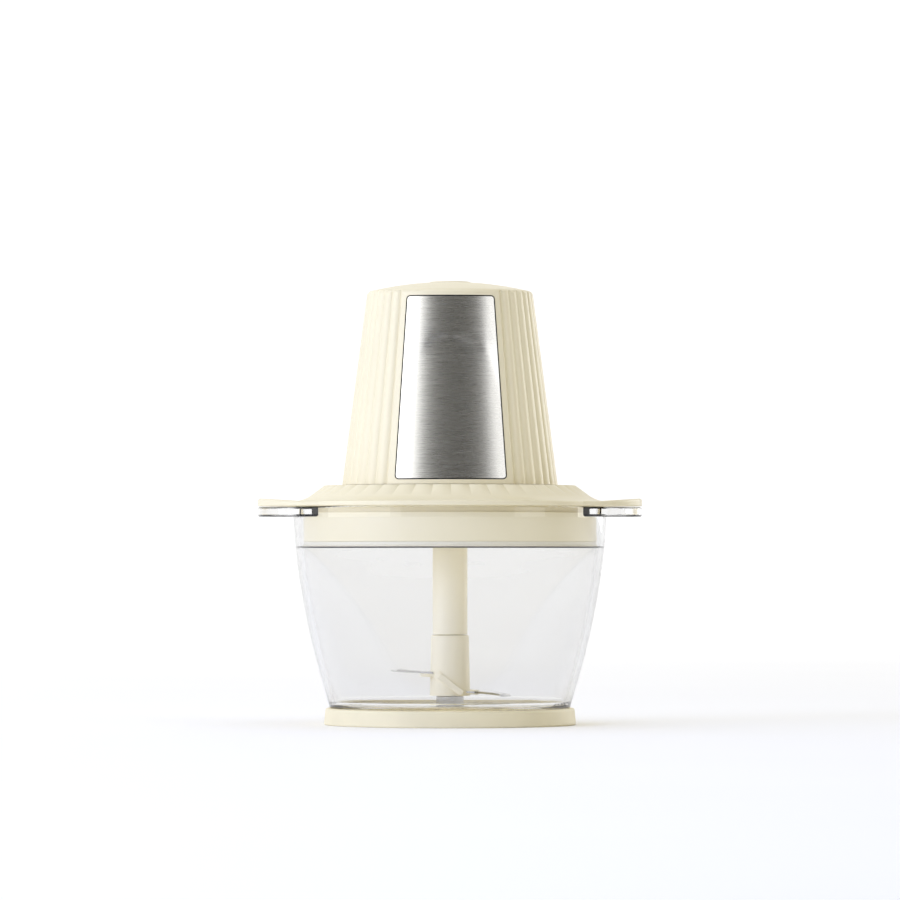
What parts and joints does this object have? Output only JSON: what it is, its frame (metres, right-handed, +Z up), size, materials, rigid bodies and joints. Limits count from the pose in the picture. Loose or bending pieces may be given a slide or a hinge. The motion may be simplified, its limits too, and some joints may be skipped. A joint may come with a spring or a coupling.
{
  "type": "food processor",
  "caption": "Mini food chopper: fluted motor head with a push button on a lid, over a glass bowl with side ears, a stem-driven two-level blade and an anti-slip base.",
  "frame": {"origin": "centre of the underside of the base ring", "axes": "+Z up along the drive axis; the steel panel faces -Y; the ears point along +X and -X"},
  "size_m": [0.192, 0.1566, 0.2215],
  "materials": {
    "cream_plastic": "satin moulded",
    "cream_soft": "soft matte",
    "clear_glass": "polished",
    "brushed_panel": "horizontal brushed",
    "bright_steel": "turned",
    "blade_steel": "ground",
    "clear_silicone": "translucent",
    "black_rubber": "matte",
    "dark_plastic": "glass filled",
    "natural_plastic": "acetal",
    "laminated_iron": "laminated",
    "copper": "enamelled",
    "brass": "drawn",
    "sintered_bronze": "sintered",
    "carbon": "pressed",
    "board_green": "soldermask"
  },
  "bodies": {
    "base": {"base_ring": "cream_soft"},
    "bowl": {"glass_bowl": "clear_glass", "pivot_pin": "bright_steel", "pin_seal": "clear_silicone", "pin_washer": "bright_steel", "pin_nut": "bright_steel"},
    "blade_sleeve": {"pivot_sleeve": "natural_plastic"},
    "blade_unit": {"blade_hub": "cream_plastic", "blade_stem": "cream_plastic", "upper_blade": "blade_steel", "lower_blade": "blade_steel"},
    "lid": {"lid": "cream_plastic", "lid_insert": "cream_plastic", "lid_seal": "clear_silicone", "lid_bush": "natural_plastic"},
    "button": {"push_button": "cream_plastic", "switch_plunger": "natural_plastic"},
    "rotor": {"motor_shaft": "bright_steel", "armature_core": "laminated_iron", "armature_winding": "copper", "commutator": "copper", "cooling_fan": "dark_plastic", "sun_pinion": "bright_steel"},
    "carrier": {"planet_carrier": "bright_steel", "planet_pins": "bright_steel", "drive_shaft": "bright_steel"},
    "planet_1": {"planet_gear_1": "natural_plastic"},
    "planet_2": {"planet_gear_2": "natural_plastic"},
    "planet_3": {"planet_gear_3": "natural_plastic"},
    "head": {"head_housing": "cream_plastic", "front_panel": "brushed_panel", "panel_gasket": "black_rubber", "cord_gland": "black_rubber", "head_base": "cream_plastic", "base_screws": "bright_steel", "button_spring": "bright_steel", "switch_bracket": "dark_plastic", "bracket_screws": "bright_steel", "switch_body": "dark_plastic", "control_board": "board_green", "board_capacitor": "dark_plastic", "rectifier": "dark_plastic", "ring_gear": "natural_plastic", "output_bush": "sintered_bronze", "gearbox_case": "dark_plastic", "gearbox_cover": "dark_plastic", "gearbox_screws": "bright_steel", "rubber_mounts": "black_rubber", "stator_core": "laminated_iron", "stator_coils": "copper", "lower_bracket": "dark_plastic", "upper_bracket": "dark_plastic", "lower_bearing": "sintered_bronze", "upper_bearing": "sintered_bronze", "motor_screws": "bright_steel", "brush_tubes": "brass", "carbon_brushes": "carbon", "brush_springs": "bright_steel"}
  },
  "joints": [
    {"name": "bowl_lift", "type": "slide", "parent": "base", "child": "bowl", "axis": [0, 0, 1], "range_m": [0, 0.05]},
    {"name": "lid_lift", "type": "slide", "parent": "bowl", "child": "lid", "axis": [0, 0, 1], "range_m": [0, 0.12]},
    {"name": "head_lift", "type": "slide", "parent": "lid", "child": "head", "axis": [0, 0, 1], "range_m": [0, 0.06]},
    {"name": "blade_lift", "type": "slide", "parent": "bowl", "child": "blade_sleeve", "axis": [0, 0, 1], "range_m": [0, 0.06]},
    {"name": "blade_spin", "type": "hinge", "parent": "blade_sleeve", "child": "blade_unit", "pos_m": [0, 0, 0.02], "axis": [0, 0, 1], "continuous": true},
    {"name": "button_press", "type": "slide", "parent": "head", "child": "button", "axis": [0, 0, -1], "range_m": [0, 0.0025], "stiffness_N_per_m": 400, "springref_m": -0.004, "deforming": ["button_spring"]},
    {"name": "rotor_spin", "type": "hinge", "parent": "head", "child": "rotor", "pos_m": [0, 0, 0.163], "axis": [0, 0, 1], "continuous": true},
    {"name": "carrier_spin", "type": "hinge", "parent": "head", "child": "carrier", "pos_m": [0, 0, 0.12], "axis": [0, 0, 1], "continuous": true},
    {"name": "planet_1_spin", "type": "hinge", "parent": "carrier", "child": "planet_1", "pos_m": [0.012, 0, 0.127], "axis": [0, 0, 1], "continuous": true},
    {"name": "planet_2_spin", "type": "hinge", "parent": "carrier", "child": "planet_2", "pos_m": [-0.006, 0.01039, 0.127], "axis": [0, 0, 1], "continuous": true},
    {"name": "planet_3_spin", "type": "hinge", "parent": "carrier", "child": "planet_3", "pos_m": [-0.006, -0.01039, 0.127], "axis": [0, 0, 1], "continuous": true}
  ],
  "couplings": [
    {"joint": "blade_lift", "follows": "lid_lift", "ratio": 0.5},
    {"joint": "carrier_spin", "follows": "rotor_spin", "ratio": 0.2},
    {"joint": "blade_spin", "follows": "rotor_spin", "ratio": 0.2},
    {"joint": "planet_1_spin", "follows": "rotor_spin", "ratio": -0.53333},
    {"joint": "planet_2_spin", "follows": "rotor_spin", "ratio": -0.53333},
    {"joint": "planet_3_spin", "follows": "rotor_spin", "ratio": -0.53333}
  ]
}
